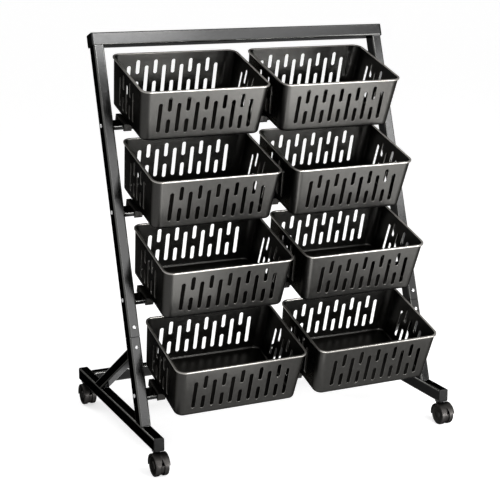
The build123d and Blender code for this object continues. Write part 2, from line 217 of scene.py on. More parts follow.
def make_piece(name, points, faces, materials, body, replaced, edge=None, face_material=None, angle=32):
    """Mesh object of the points and faces, smooth but for folds over the angle, riding on its body."""
    mesh = bpy.data.meshes.new(name)
    mesh.from_pydata(np.asarray(points).tolist(), [], faces)
    mesh.polygons.foreach_set("use_smooth", np.ones(len(mesh.polygons), bool))
    mesh.set_sharp_from_angle(angle=radians(angle))
    if edge is not None:
        mesh.attributes.new("edge", "FLOAT", "POINT").data.foreach_set("value", np.asarray(edge, np.float32))
    for material in materials if isinstance(materials, list) else [materials]:
        mesh.materials.append(material)
    if face_material is not None:
        mesh.polygons.foreach_set("material_index", face_material)
    piece = bpy.data.objects.new(name, mesh)
    bpy.context.scene.collection.objects.link(piece)
    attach(piece, body)
    if replaced:
        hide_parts(*replaced)


def cut_tube(width, depth, corner, origin, across, axis, low_cut, high_cut, bevel=0.0005):
    """Tube between two cuts: every outline point, origin + x across + y away, goes along the axis to the
    cutting plane, and each end ring is drawn in by the bevel. A cut is a point and the plane's normal."""
    origin, across, axis = (np.array(v, float) for v in (origin, across, axis))
    away = np.cross(axis, across)
    full, on_arc = outline(width, depth, corner)
    drawn, _ = outline(width, depth, corner, bevel)

    def ring(flat, cut, inward):
        point, normal = (np.array(v, float) for v in cut)
        base = origin + flat[:, :1] * across + flat[:, 1:] * away
        reach = ((point - base) @ normal) / (axis @ normal) + inward
        return base + reach[:, None] * axis

    drawn = drawn * (1 - 2 * bevel / max(width, depth))
    rings = [
        ring(drawn, low_cut, 0), ring(full, low_cut, bevel),
        ring(full, high_cut, -bevel), ring(drawn, high_cut, 0),
    ]
    return np.vstack(rings), closed(len(full), len(rings)), np.tile(on_arc, len(rings))


def tube_piece(name, tube):
    """Coated tube that stands for the construction's node of the same name."""
    points, faces, on_arc = tube
    # The rounded corners carry the edge weight, where the rubbed colour paints a highlight along the tube's
    # edges as well as wear.
    make_piece(f"{name}_coated", points, faces, frame_coat, "frame", [name], on_arc)


for side_name, side in sides.items():
    low_cut = ((0, base_front, 0), (0, 1, 0))
    high_cut = ((0, base_rear, 0), (0, 1, 0))
    middle = (side * post_x, base_front, base_middle)
    tube_piece(f"base_rail_{side_name}", cut_tube(
        base_rail_height, tube_width, tube_corner, middle, (0, 0, 1), (0, 1, 0), low_cut, high_cut,
    ))


# Posts
# Each post is two rectangular tubes butted over an inner sleeve, leaning back 18 degrees.
# The lower one is mitred and welded to the base rail. One bolt clamps each tube to the sleeve.

lean = radians(18)
post_depth = 0.045
post_setback = 0.102
post_joint = 0.256
post_length = 1.140
post_end_bevel = 0.0009
post_axis = np.array([0, sin(lean), cos(lean)])
post_back = np.array([0, cos(lean), -sin(lean)])


def on_post(side, up):
    """Point of a post's centre line, a distance up the lean from the top of the base rail."""
    foot = np.array([side * post_x, base_front + post_setback + post_depth / cos(lean) / 2, base_top])
    return foot + up * post_axis


for side_name, side in sides.items():
    joint = (on_post(side, post_joint), post_axis)
    floor_cut = ((0, 0, base_top), (0, 0, 1))
    top = (on_post(side, post_length), post_axis)
    foot = on_post(side, 0)
    tube_piece(f"lower_post_{side_name}", cut_tube(
        tube_width, post_depth, tube_corner, foot, (1, 0, 0), post_axis, floor_cut, joint, post_end_bevel,
    ))
    tube_piece(f"upper_post_{side_name}", cut_tube(
        tube_width, post_depth, tube_corner, foot, (1, 0, 0), post_axis, joint, top, post_end_bevel,
    ))


# Braces and rear stretcher
# A square tube runs from each base rail up to the back of the lower post at 33 degrees.
# A level tube ties the two base rails together near their rear ends. All are welded.

brace_angle = radians(33)
brace_depth = 0.032
brace_foot = 0.474
stretcher_depth = 0.032
stretcher_inset = 0.035
brace_axis = np.array([0, -cos(brace_angle), sin(brace_angle)])
brace_square = np.array([0, sin(brace_angle), cos(brace_angle)])


def brace_corner(side):
    """Lower front corner of a brace, on the top of its base rail."""
    return np.array([side * post_x, base_front + brace_foot, base_top])


for side_name, side in sides.items():
    middle = brace_corner(side) + brace_square * brace_depth / 2
    rear_face = (on_post(side, 0) + post_back * post_depth / 2, post_back)
    tube_piece(f"brace_{side_name}", cut_tube(
        tube_width, brace_depth, tube_corner, middle, (1, 0, 0), brace_axis,
        ((0, 0, base_top), (0, 0, 1)), rear_face,
    ))


def across_rack(half):
    """The two upright cuts of a tube that reaches half its length to each side of the rack's middle."""
    return ((-half, 0, 0), (1, 0, 0)), ((half, 0, 0), (1, 0, 0))


inner_x = post_x - tube_width / 2
stretcher_middle = np.array([0, base_rear - stretcher_inset - stretcher_depth / 2, base_middle])
tube_piece("rear_stretcher", cut_tube(
    stretcher_depth, base_rail_height, tube_corner, stretcher_middle, (0, 1, 0), (1, 0, 0),
    *across_rack(inner_x),
))


# Weld beads
# A short arc weld runs along each seam between the tubes, coated with them.
# Each bead is a row of overlapping ripples that dies out at both ends.

bead_radius = 0.0022
bead_length = tube_width - 2 * tube_corner
bead_rings = 41
bead_sides = 12
ripple_pitch = 0.0024
ripple_swell = 0.14


def bead(middle, along):
    """Bead along a seam: a circle about the seam whose radius swells once a ripple and shrinks to nothing
    at the ends as the root of a half sine."""
    along = np.array(along, float)
    first = np.cross(along, [0.31, 0.52, 0.79])
    first /= np.linalg.norm(first)
    second = np.cross(along, first)
    share = np.linspace(0, 1, bead_rings)[:, None]
    turn = np.linspace(0, 2 * pi, bead_sides, endpoint=False)[None, :]
    swell = 1 + ripple_swell * np.abs(np.sin(pi * share * bead_length / ripple_pitch))
    radius = bead_radius * swell * np.sqrt(np.sin(pi * np.clip(share, 0.004, 0.996)))
    centre = np.array(middle) + (share - 0.5)[..., None] * bead_length * along
    spoke = np.cos(turn)[..., None] * first + np.sin(turn)[..., None] * second
    return (centre + radius[..., None] * spoke).reshape(-1, 3), closed(bead_sides, bead_rings)


def joined(parts):
    """Several point and face lists as one, with the faces counted on."""
    points, faces, first = [], [], 0
    for part_points, part_faces in parts:
        points.append(part_points)
        faces += [[i + first for i in face] for face in part_faces]
        first += len(part_points)
    return np.vstack(points), faces


half = post_depth / 2 / cos(lean)
brace_reach = brace_depth / sin(brace_angle)
for side_name, side in sides.items():
    foot, corner = on_post(side, 0), brace_corner(side)
    rear_face = foot + post_back * post_depth / 2
    seams = [(foot + [0, way * half, 0], (1, 0, 0)) for way in (-1, 1)]
    seams += [(corner + [0, share * brace_reach, 0], (1, 0, 0)) for share in (0, 1)]
    for square in (0, brace_depth):
        start = corner + brace_square * square
        run = ((rear_face - start) @ post_back) / (brace_axis @ post_back)
        seams.append((start + brace_axis * run, (1, 0, 0)))
    for way in (-1, 1):
        seams.append((stretcher_middle + [side * inner_x, way * stretcher_depth / 2, 0], (0, 0, 1)))
    points, faces = joined([bead(middle, along) for middle, along in seams])
    make_piece(f"weld_beads_{side_name}", points, faces, frame_coat, "frame", [], angle=60)


# Top rail
# A rectangular tube lies across the tops of both posts and leans with them.
# Spigots inside the posts hold it, and a black plastic cap closes each end.

rail_height = 0.040
rail_half = post_x + tube_width / 2
rail_middle = on_post(0, post_length + rail_height / 2)
tube_piece("top_rail", cut_tube(
    post_depth, rail_height, tube_corner, rail_middle, post_back, (1, 0, 0), *across_rack(rail_half),
))


# End caps and end plugs
# Moulded black plastic closes the ends of the top rail and of both base rails.
# Each has a plate with rounded edges, as large as the tube, and a block pressed into it.

cap_plastic = finish(
    "cap_plastic", (0.010, 0.010, 0.010, 1), (0.014, 0.014, 0.014, 1),
    rough=0.42, shiny=0.34, grain=1100.0, relief=0.00006,
    rub_and_highlight=((0.05, 0.05, 0.05, 1), 0.3), dust=0.05,
)
cap_thickness = 0.005
plug_thickness = 0.003
plate_edge = 0.0014
plate_rim = 0.0010
panel_slope = 0.0004
panel_drop = 0.0003
least_corner = 0.0012


def plate(width, depth, middle, across, axis, thickness):
    """Plate with a rounded front edge: its outline is drawn in by a quarter circle as it rises to the front,
    and a shallow panel is sunk inside the rim."""
    middle, across, axis = (np.array(v, float) for v in (middle, across, axis))
    away = np.cross(axis, across)
    turn = np.linspace(0, pi / 2, 5)
    rim = plate_edge + plate_rim
    inset = np.r_[0, plate_edge * (1 - np.cos(turn)), rim, rim + panel_slope]
    height = thickness + np.r_[-thickness, plate_edge * (np.sin(turn) - 1), 0, -panel_drop]
    rings = []
    for drawn, rise in zip(inset, height):
        flat, _ = outline(width - 2 * drawn, depth - 2 * drawn, max(tube_corner - drawn, least_corner))
        rings.append(middle + flat[:, :1] * across + flat[:, 1:] * away + rise * axis)
    return np.vstack(rings), closed(len(flat), len(rings))


for side_name, side in sides.items():
    end = rail_middle + [side * rail_half, 0, 0]
    points, faces = plate(post_depth, rail_height, end, side * post_back, (side, 0, 0), cap_thickness)
    name = f"rail_end_cap_{side_name}"
    make_piece(f"{name}_moulded", points, faces, cap_plastic, "frame", [name])

plugs = []
for side in sides.values():
    for y, way in ((base_front, -1), (base_rear, 1)):
        middle = (side * post_x, y, base_middle)
        plugs.append(plate(
            tube_width, base_rail_height, middle, (-way, 0, 0), (0, way, 0), plug_thickness,
        ))
points, faces = joined(plugs)
make_piece("base_rail_plugs_moulded", points, faces, cap_plastic, "frame", ["base_rail_plugs"])


# Crossbars
# Four flat tubes run between the posts, one to a tier, tilted like the basket floors.
# A bolt through each post goes into a threaded block in the bar's end.

bar_depth = 0.044
bar_height = 0.015
bar_corner = 0.003
tilt = radians(18)
basket_back = np.array([0, cos(tilt), sin(tilt)])
basket_up = np.array([0, -sin(tilt), cos(tilt)])
tiers = range(1, 5)


def bar_middle(tier):
    """Middle of a crossbar, from the construction's own box."""
    low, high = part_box(f"crossbar_{tier}")
    return np.array((low + high) / 2)


for tier in tiers:
    tube_piece(f"crossbar_{tier}", cut_tube(
        bar_depth, bar_height, bar_corner, bar_middle(tier), basket_back, (1, 0, 0), *across_rack(inner_x),
    ))


# Bolts
# Bright zinc button-head screws with a hexagon socket hold the crossbars, the post joints and the top rail.
# Their heads stand on the posts' outer, front and rear faces, and their shanks are hidden.

bolt_zinc = finish(
    "bolt_zinc", (0.40, 0.40, 0.41, 1), (0.50, 0.50, 0.50, 1),
    rough=0.40, shiny=0.30, grain=1600.0, relief=0.00002, graze=1.0,
)
head_radius = 0.006
head_height = 0.0035
head_steps = 24
head_rim = 0.0003
land_radius = 0.0032
socket_radius = 0.0021
head_bevel = 0.0002
socket_mouth = 0.0003
socket_depth = 0.0020
joint_bolt_reach = 0.030
spigot_bolt_drop = 0.030


def bolt_head(place, axis):
    """Button head: rings of a shallow dome about the axis, and inside them a six-sided socket, whose radius
    is the flat's distance divided by the cosine of the angle from the nearest flat."""
    place, axis = np.array(place, float), np.array(axis, float)
    first = np.cross(axis, [0.2, 0.5, 0.84])
    first /= np.linalg.norm(first)
    second = np.cross(axis, first)
    turn = np.linspace(0, 2 * pi, head_steps, endpoint=False)
    hexagon = socket_radius / np.cos((turn + pi / 6) % (pi / 3) - pi / 6)
    rise = np.linspace(0, 1, 6)[1:]
    dome = head_radius - (head_radius - land_radius) * rise ** 2.2
    dome_height = head_rim + (head_height - head_rim) * np.sin(rise * pi / 2)
    radius = np.vstack([
        np.r_[head_radius - head_bevel, head_radius, dome][:, None] * np.ones(head_steps),
        hexagon + head_bevel, hexagon, hexagon * 0.97,
    ])
    height = np.r_[
        0, head_rim, dome_height, head_height, head_height - socket_mouth, head_height - socket_depth,
    ]
    spoke = np.cos(turn)[:, None] * first + np.sin(turn)[:, None] * second
    points = place + radius[..., None] * spoke + height[:, None, None] * axis
    return points.reshape(-1, 3), closed(head_steps, len(radius))


bar_bolts = [
    bolt_head(bar_middle(tier) + [side * rail_half, 0, 0], (side, 0, 0))
    for tier in tiers for side in sides.values()
]
joint_bolts = [
    bolt_head(on_post(side, post_joint + way * joint_bolt_reach) - post_back * post_depth / 2, -post_back)
    for way in (-1, 1) for side in sides.values()
]
spigot_bolts = [
    bolt_head(on_post(side, post_length - spigot_bolt_drop) + post_back * post_depth / 2, post_back)
    for side in sides.values()
]
for name, heads in (
    ("crossbar_bolts", bar_bolts), ("post_joint_bolts", joint_bolts), ("rail_spigot_bolts", spigot_bolts),
):
    points, faces = joined(heads)
    make_piece(f"{name}_heads", points, faces, bolt_zinc, "frame", [name])


# Baskets
# Eight polypropylene mouldings, wider at the rim than at the floor, with a lip round the rim.
# One long slot and two short ones take turns along their walls. Saddles at both ends sit astride the bar.

# The rubbed edge colour, many times lighter than the plastic, covers most of the lip and part of each slot's
# edge: partly wear, partly a painted highlight along the rim and the slot edges.
basket_plastic = finish(
    "basket_plastic", (0.030, 0.0295, 0.028, 1), (0.039, 0.038, 0.036, 1),
    rough=0.36, shiny=0.28, grain=1300.0, relief=0.00003,
    rub_and_highlight=((0.26, 0.25, 0.235, 1), 0.82), dust=0.05,
)
basket_height = 0.163
floor_half = np.array([0.194, 0.1385])
draft = np.array([0.012, 0.005])
basket_corner = 0.025
wall = 0.0025
foot_radius = 0.009
inner_foot = 0.0065
seat_gap = 0.0003

# Each pitch of a wall is so many cells of the grid. Guard rings keep the flats flat beside the round edges.
columns = (11, 5, 11, 5)
slot_pitch = 0.0293
slot_half = 0.006
cells = 4
guard = 0.001
slot_guard = 0.0006
round_edge = 0.0007
# Share of the rubbed edge colour on the slots' rounded edges: wear and a painted highlight.
slot_edge_wear_and_highlight = 0.3

# Heights of the grid's rows on a wall. A slot is its first and last row, its middle height and half the
# distance between its two end centres.
slot_rows = np.array([0.015, 0.021, 0.029, 0.063, 0.073, 0.0815, 0.090, 0.100, 0.134, 0.142, 0.148])
long_slot = (0, 10, 0.0745, 0.041)
short_slots = ((0, 5, 0.046, 0.017), (5, 10, 0.117, 0.017))

# Section of the lip, from the wall out and under it, then up and over: distance out and height from the rim.
lip = 0.004
under_lip = [(0, -0.0068), (0, -0.0058), (0.0002, -0.0052), (0.0008, -0.0050), (0.0030, -0.0050)]
over_lip = [
    (0.0037, -0.0047), (lip, -0.0040), (lip, -0.0012), (0.0037, -0.0004), (0.0029, 0), (-0.0016, 0),
    (-0.0022, -0.0003), (-wall, -0.0010), (-wall, -0.0025),
]

# The four walls, front, right, rear and left: the way along each and the way out of it.
wall_along = np.array([[1, 0], [0, 1], [-1, 0], [0, -1]])
wall_out = np.array([[0, -1], [1, 0], [0, 1], [-1, 0]])


def stations():
    """Places round the basket, anticlockwise from the front left: for each its wall, a fixed distance along
    the wall, a share of the wall's half length, and the direction that the corner radius takes."""
    rows = []
    for index in range(4):
        count = columns[index]
        marks = (np.arange(cells * count + 1) / cells - count / 2) * slot_pitch
        along = np.r_[0, guard, marks, -guard, 0]
        share = np.r_[-1, -1, np.zeros(len(marks)), 1, 1]
        flat = np.tile(wall_out[index], (len(along), 1))
        angle = np.linspace(0, pi / 2, 8)[1:-1, None]
        bend = np.cos(angle) * wall_out[index] + np.sin(angle) * wall_along[index]
        rows.append(np.column_stack([np.full(len(along), index), along, share, flat]))
        rows.append(np.column_stack([np.tile([index, 0, 1], (len(bend), 1)), bend]))
    return np.vstack(rows)


def ring_round(table, grow, height):
    """Rounded rectangle at a height: the floor's half size plus the draft's share plus the growth, and a
    corner radius that grows with it."""
    index = table[:, 0].astype(int)
    radius = basket_corner + grow
    core = floor_half + draft * height / basket_height + grow - radius
    along = table[:, 1] + table[:, 2] * core[index % 2]
    out = core[1 - index % 2]
    flat = wall_along[index] * along[:, None] + wall_out[index] * out[:, None] + table[:, 3:] * radius
    return np.column_stack([flat, np.full(len(flat), height)])


def slot_ring(index, centre, angles, centres, grow, depth):
    """Ring of a slot in one wall: half circles about the slot's two end centres and straight sides between
    them, pushed into the wall by the depth."""
    along = centre + (slot_half + grow) * np.cos(angles)
    height = centres + (slot_half + grow) * np.sin(angles)
    side = 1 - index % 2
    out = floor_half[side] + draft[side] * height / basket_height - depth
    flat = wall_along[index] * along[:, None] + wall_out[index] * out[:, None]
    return np.column_stack([flat, height])


def slot_section():
    """Section of a slot's edge through the wall, a quarter circle at both faces: how much the slot has grown
    there, and the depth in the wall."""
    outer = [(round_edge + slot_guard, 0)]
    outer += [(round_edge * (1 - sin(a)), round_edge * (1 - cos(a))) for a in np.linspace(0, pi / 2, 4)]
    return outer + [(grow, wall - depth) for grow, depth in outer[::-1]]


def slot_loop(low, high, middle, half):
    """One turn round a slot from its foot, in as many steps as round its cells of the grid. On the slot a step
    has an angle and the height of the end centre it turns about, on the grid a row and a place across."""
    eighth = pi / 8
    below, above = middle - half, middle + half
    straight = (below, *slot_rows[low + 3:high - 2], above)
    right = [(-eighth, below), *((0, height) for height in straight), (eighth, above)]
    left = [(pi - angle, height) for angle, height in right][::-1]
    bottom = [(-pi / 2 + k * eighth, below) for k in range(-2, 3)]
    top = [(pi / 2 + k * eighth, above) for k in range(-2, 3)]
    angles, centres = np.array(bottom + right + top + left).T
    rise, across = np.arange(low + 1, high), np.arange(cells + 1)
    level = np.r_[np.full(cells + 1, low), rise, np.full(cells + 1, high), rise[::-1]]
    step = np.r_[across, np.full(len(rise), cells), across[::-1], np.zeros_like(rise)]
    return angles, centres, level, step


def basket_profile():
    """Section of the shell, growth and height: round the foot, up the wall, over the lip, down inside and
    onto the floor. Returns it with each row's weight of rubbed wear and painted rim highlight, and the first
    rows of the outer and the inner wall."""
    turn = np.linspace(0, pi / 2, 6)
    foot = [(-foot_radius - guard, 0)]
    foot += [(foot_radius * (sin(a) - 1), foot_radius * (1 - cos(a))) for a in turn]
    rim = [(out, basket_height + rise) for out, rise in under_lip + over_lip]
    inside = [(-wall - inner_foot * (1 - sin(a)), wall + inner_foot * (1 - cos(a))) for a in turn[::-1]]
    inside.append((-wall - inner_foot - guard, wall))
    profile = foot + [(0, z) for z in slot_rows] + rim + [(-wall, z) for z in slot_rows[::-1]] + inside
    rim_first = len(foot) + len(slot_rows)
    inner_first = rim_first + len(rim)
    # The lip's rows take the full rubbed edge weight: wear and a painted highlight along the rim.
    wear_and_highlight = np.zeros(len(profile))
    wear_and_highlight[rim_first + len(under_lip) - 1:inner_first - 1] = 1
    return profile, wear_and_highlight, len(foot), inner_first


def basket_shell():
    """Closed shell of one basket: a grid of the profile's rows by the stations. Each slot's cells give way to
    rings that run from the outer wall's grid, through the wall, to the inner wall's."""
    table = stations()
    count = len(table)
    profile, wear_and_highlight, outer_first, inner_first = basket_profile()
    points = [ring_round(table, grow, height) for grow, height in profile]
    edge = [np.full(count, rub_and_highlight) for rub_and_highlight in wear_and_highlight]
    faces = np.array(ring_faces(count, len(profile))).reshape(len(profile) - 1, count, 4)
    keep = np.ones(faces.shape[:2], bool)
    starts = [np.argmax(table[:, 0] == index) + 2 for index in range(4)]
    for index, start in enumerate(starts):
        for row in (outer_first, inner_first):
            keep[row:row + len(slot_rows) - 1, start:start + cells * columns[index]] = False
    quads = [faces[keep]]
    first = len(profile) * count
    for index, start in enumerate(starts):
        for column in range(columns[index]):
            centre = (column - (columns[index] - 1) / 2) * slot_pitch
            for slot in short_slots if column % 2 else [long_slot]:
                angles, centres, level, step = slot_loop(*slot)
                place = start + cells * column + step
                loops = [(outer_first + level) * count + place]
                for grow, depth in slot_section():
                    points.append(slot_ring(index, centre, angles, centres, grow, depth))
                    # The slot's rounded edge takes part of the rubbed colour, wear and a painted highlight.
                    edge.append(np.full(len(angles), slot_edge_wear_and_highlight if 0 < depth < round_edge else 0.0))
                    loops.append(first + np.arange(len(angles)))
                    first += len(angles)
                loops.append((inner_first + len(slot_rows) - 1 - level) * count + place)
                for here, there in zip(loops, loops[1:]):
                    quads.append(np.stack([here, np.roll(here, -1), np.roll(there, -1), there], 1))
    quads = np.concatenate(quads)
    used, packed = np.unique(quads, return_inverse=True)
    floor_ring = np.searchsorted(used, (len(profile) - 1) * count + np.arange(count)).tolist()
    quads = packed.reshape(quads.shape).tolist() + [list(range(count - 1, -1, -1)), floor_ring]
    return np.vstack(points)[used], quads, np.concatenate(edge)[used]


def drawn_in(shape, inset):
    """Outline moved inward by the inset: each corner goes along the sum of its two edges' inward normals,
    divided by one plus their product."""
    ahead = np.roll(shape, -1, 0) - shape
    ahead /= np.linalg.norm(ahead, axis=1)[:, None]
    normal = np.stack([-ahead[:, 1], ahead[:, 0]], 1)
    before = np.roll(normal, 1, 0)
    return shape + inset * (normal + before) / (1 + (normal * before).sum(1))[:, None]


def extruded(shape, low, high, bevel):
    """Block whose anticlockwise outline in Y and Z is carried along X, with its two end rings drawn in."""
    steps = ((bevel, 0), (0.3 * bevel, 0.3 * bevel), (0, bevel))
    rings = []
    for inset, x in [(i, low + run) for i, run in steps] + [(i, high - run) for i, run in steps[::-1]]:
        flat = drawn_in(shape, inset)
        rings.append(np.column_stack([np.full(len(flat), x), flat]))
    return np.vstack(rings), closed(len(shape), len(rings))


def saddle(top):
    """Outline of a saddle, front leg 4 mm and rear leg 30 mm, with the crossbar's space between them."""
    front, rear, gap, drop, seat = -0.0265, 0.0525, 0.0225, -0.0183, -0.0001
    corners = np.array([
        [front, drop], [-gap, drop], [-gap, seat], [gap, seat], [gap, drop], [rear, drop], [rear, top],
        [front, top],
    ])
    ahead = np.roll(corners, -1, 0) - corners
    length = np.linalg.norm(ahead, axis=1)[:, None]
    cut = round_edge * ahead / length
    before = np.roll(cut, 1, 0)
    return np.stack([corners - before, corners + cut], 1).reshape(-1, 2)


# A saddle is a block under the floor and a taller one beside the end wall: from, to and top.
shell_points, shell_faces, shell_edge = basket_shell()
saddle_bevel = 0.0006
saddle_blocks = ((0.184, 0.1942, 0.0012), (0.1938, floor_half[0] + draft[0] + lip, 0.005))
saddles = [
    extruded(saddle(top), *sorted((way * start, way * end)), saddle_bevel)
    for way in (-1, 1) for start, end, top in saddle_blocks
]
points, faces = joined([(shell_points, shell_faces), *saddles])
edge = np.r_[shell_edge, np.zeros(len(points) - len(shell_edge))]
for tier in tiers:
    for side_name, side in sides.items():
        name = f"basket_{tier}_{side_name}"
        low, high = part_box(name)
        seat = bar_middle(tier) + basket_up * (bar_height / 2 + seat_gap)
        seat[0] = (low.x + high.x) / 2
        placed = seat + points[:, :1] * [1, 0, 0] + points[:, 1:2] * basket_back + points[:, 2:] * basket_up
        make_piece(f"{name}_moulding", placed, faces, basket_plastic, name, [name], edge)


# Caster hoods
# A black nylon hood covers the tops of both wheels, with a notch in the middle of its trailing edge.
# Its disc carries the axle between the wheels, and its boss turns on the steel stem under the base rail.

caster_plastic = finish(
    "caster_plastic", (0.024, 0.023, 0.022, 1), (0.032, 0.030, 0.029, 1),
    rough=0.42, shiny=0.34, grain=1200.0, relief=0.00005,
    rub_and_highlight=((0.06, 0.06, 0.06, 1), 0.4), dust=0.06,
)
axle_height = 0.0325
trail = 0.020
hood_outer = 0.0355
hood_inner = 0.0337
hood_half = 0.0223
hood_flank = 0.012
cover_guard = 0.012
edge_lift = radians(12)
web_half = 0.006
web_radius = 0.0295
notch_half = 0.006
notch_height = 0.022
notch_drop = 0.0018
notch_depth = 0.018
boss_radius = 0.011
boss_top = 0.0682
boss_edge = 0.0015
boss_steps = 40
stem_radius = 0.004
web_bevel = 0.0006
web_overlap = 0.0005
edge_height = hood_outer * sin(edge_lift)


def hood_shell():
    """Curved cover: a flat loop, outer skin and inner skin with rounded rims, carried over half a circle
    about the axle. The half circle starts later towards the middle, which leaves the notch: its height falls
    off evenly to each side, and the starting angle is the one whose sine is that height over the radius."""
    rim = (hood_outer - hood_inner) / 2
    flat = np.r_[-hood_half + rim, -hood_flank, -notch_half, -notch_half / 2, 0]
    across = np.r_[flat, -flat[-2::-1]]
    turn = np.linspace(0, pi / 2, 5)[1:-1]
    rounded = np.column_stack([hood_half - rim + rim * np.cos(turn), hood_outer - rim + rim * np.sin(turn)])
    outer = np.vstack([
        rounded * [-1, 1], np.column_stack([across, np.full(len(across), hood_outer)]), rounded[::-1],
    ])
    loop = np.vstack([outer, np.column_stack([outer[::-1, 0], hood_outer + hood_inner - outer[::-1, 1]])])
    notch = (notch_height + notch_drop) * np.clip(1 - np.abs(loop[:, 0]) / notch_half, 0, 1) - notch_drop
    start = np.arcsin((edge_height + np.clip(notch, 0, None)) / hood_outer)
    share = np.r_[0, cover_guard, np.linspace(0.05, 0.95, 30), 1 - cover_guard, 1][:, None]
    angle = start + (pi + edge_lift - start) * share
    points = np.stack([
        np.broadcast_to(loop[:, 0], angle.shape), -trail - loop[:, 1] * np.cos(angle),
        axle_height + loop[:, 1] * np.sin(angle),
    ], 2)
    count, rings = len(loop), len(share)
    half = np.arange(len(outer) - 1)
    strip = np.stack([half, half + 1, count - 2 - half, count - 1 - half], 1)
    faces = np.array(ring_faces(count, rings))[:, ::-1].tolist()
    return points.reshape(-1, 3), faces + strip.tolist() + (strip[:, ::-1] + (rings - 1) * count).tolist()


def hood_web():
    """Disc between the wheels as one outline: an arc inside the cover, straight walls of the pocket behind
    the notch, and a smaller arc below the cover's edges."""
    pocket, pocket_floor = hood_outer - notch_depth, edge_height - notch_drop
    notch_top = edge_height + notch_height
    over = np.linspace(-edge_lift, pi - np.arctan2(notch_top, pocket), 41)
    under = np.linspace(pi - np.arcsin(pocket_floor / web_radius), 2 * pi - edge_lift, 49)
    reach = hood_inner + web_overlap
    shape = np.vstack([
        reach * np.column_stack([np.cos(over), np.sin(over)]),
        [(-pocket, notch_top), (-pocket, pocket_floor)],
        web_radius * np.column_stack([np.cos(under), np.sin(under)]),
    ])
    return extruded(shape + [-trail, axle_height], -web_half, web_half, web_bevel)


def turned(profile, steps):
    """Solid of revolution about Z: each profile point, a radius and a height, is carried round a circle."""
    angle = np.linspace(0, 2 * pi, steps, endpoint=False)
    radius, height = np.array(profile).T
    points = np.stack([
        radius[:, None] * np.cos(angle), radius[:, None] * np.sin(angle),
        np.broadcast_to(height[:, None], (len(radius), steps)),
    ], 2)
    return points.reshape(-1, 3), closed(steps, len(radius))


# The boss is turned, and its lowest ring is lifted into the middle of the cover's curve.
boss_profile = [(boss_radius, axle_height)] + [
    (boss_radius - boss_edge * (1 - cos(a)), boss_top - boss_edge * (1 - sin(a)))
    for a in np.linspace(0, pi / 2, 5)
] + [(stem_radius, boss_top)]
boss_points, boss_faces = turned(boss_profile, boss_steps)
foot = boss_points[:boss_steps]
foot[:, 2] += np.sqrt(((hood_outer + hood_inner) / 2) ** 2 - (foot[:, 1] + trail) ** 2)
hood_points, hood_faces = joined([hood_shell(), hood_web(), (boss_points, boss_faces)])
caster_inset = 0.020
casters = [
    (f"{end_name}_{side_name}", side * post_x, y)
    for side_name, side in sides.items()
    for end_name, y in (("front", base_front + caster_inset), ("rear", base_rear - caster_inset))
]
for name, x, y in casters:
    make_piece(
        f"caster_hood_{name}_moulding", hood_points + [x, y, 0], hood_faces, caster_plastic,
        f"caster_{name}", [f"caster_hood_{name}"],
    )


# Caster wheels
# Two nylon wheels to a caster, each with a soft dark tread, turn on the ends of the axle.
# The outer face is a dished disc with a raised hub, and the wheels are pushed on the axle.

wheel_disc = finish(
    "wheel_disc", (0.018, 0.018, 0.017, 1), (0.026, 0.025, 0.024, 1),
    rough=0.42, shiny=0.34, grain=1200.0, relief=0.00004,
)
wheel_tread = finish(
    "wheel_tread", (0.026, 0.025, 0.024, 1), (0.034, 0.032, 0.031, 1),
    rough=0.52, shiny=0.42, grain=500.0, relief=0.00010,
)
wheel_start = 0.0063
wheel_end = 0.0208
wheel_radius = axle_height
wheel_steps = 72
shoulder = 0.0040
inner_shoulder = 0.0015
bore_radius = 0.00405
bore_depth = 0.0123
centre_radius = 0.0005
inner_rings = (bore_radius, 0.0090, 0.0280)

# Section of the outer face from the rim over the dish to the hub: radius and distance out from the rim.
outer_face = (
    (0.0275, 0), (0.0265, 0), (0.0260, -0.0004), (0.0256, -0.0013), (0.0251, -0.0017), (0.0243, -0.0018),
    (0.0138, -0.0025), (0.0124, -0.0025), (0.0119, -0.0021), (0.0114, -0.0007), (0.0109, -0.0002),
    (0.0100, 0), (0.0070, 0.0004), (0.0035, 0.0006), (centre_radius, 0.0007),
)


def wheel_profile():
    """Half section of a wheel, radius and distance out: blind bore, flat inner face, tread between rounded
    shoulders, rim, dished disc and hub. Returns it with 1 for each step that is tread."""
    bore_end = wheel_start + bore_depth
    start = [(centre_radius, bore_end), (bore_radius, bore_end)]
    start += [(radius, wheel_start) for radius in inner_rings]
    arc = np.linspace(0, pi / 2, 7)
    tread = [
        (wheel_radius - inner_shoulder * (1 - sin(a)), wheel_start + inner_shoulder * (1 - cos(a)))
        for a in arc
    ]
    tread += [(wheel_radius - shoulder * (1 - cos(a)), wheel_end - shoulder * (1 - sin(a))) for a in arc]
    face = [(radius, wheel_end + out) for radius, out in outer_face]
    is_tread = [0] * len(start) + [1] * (len(tread) - 1) + [0] * len(face)
    return start + tread + face, is_tread


profile, is_tread = wheel_profile()
wheel_points, wheel_faces = turned(profile, wheel_steps)
wheel_material = np.r_[np.repeat(is_tread, wheel_steps), 0, 0]
radius_y, radius_z, along = wheel_points.T
for name, x, y in casters:
    side = 1 if x > 0 else -1
    for place, out in (("outer", side), ("inner", -side)):
        placed = np.column_stack([x + out * along, y - trail + out * radius_y, axle_height + radius_z])
        node_name = f"wheel_{place}_{name}"
        make_piece(
            f"{node_name}_moulding", placed, wheel_faces, [wheel_disc, wheel_tread], node_name,
            [node_name], face_material=wheel_material,
        )


# Hidden steel
# Sleeves, spigots, threaded blocks, bushes and axles are bright drawn steel inside the tubes and mouldings.
# The caster stems are blacked steel. All keep the construction's shape, and only the stems' collars show.

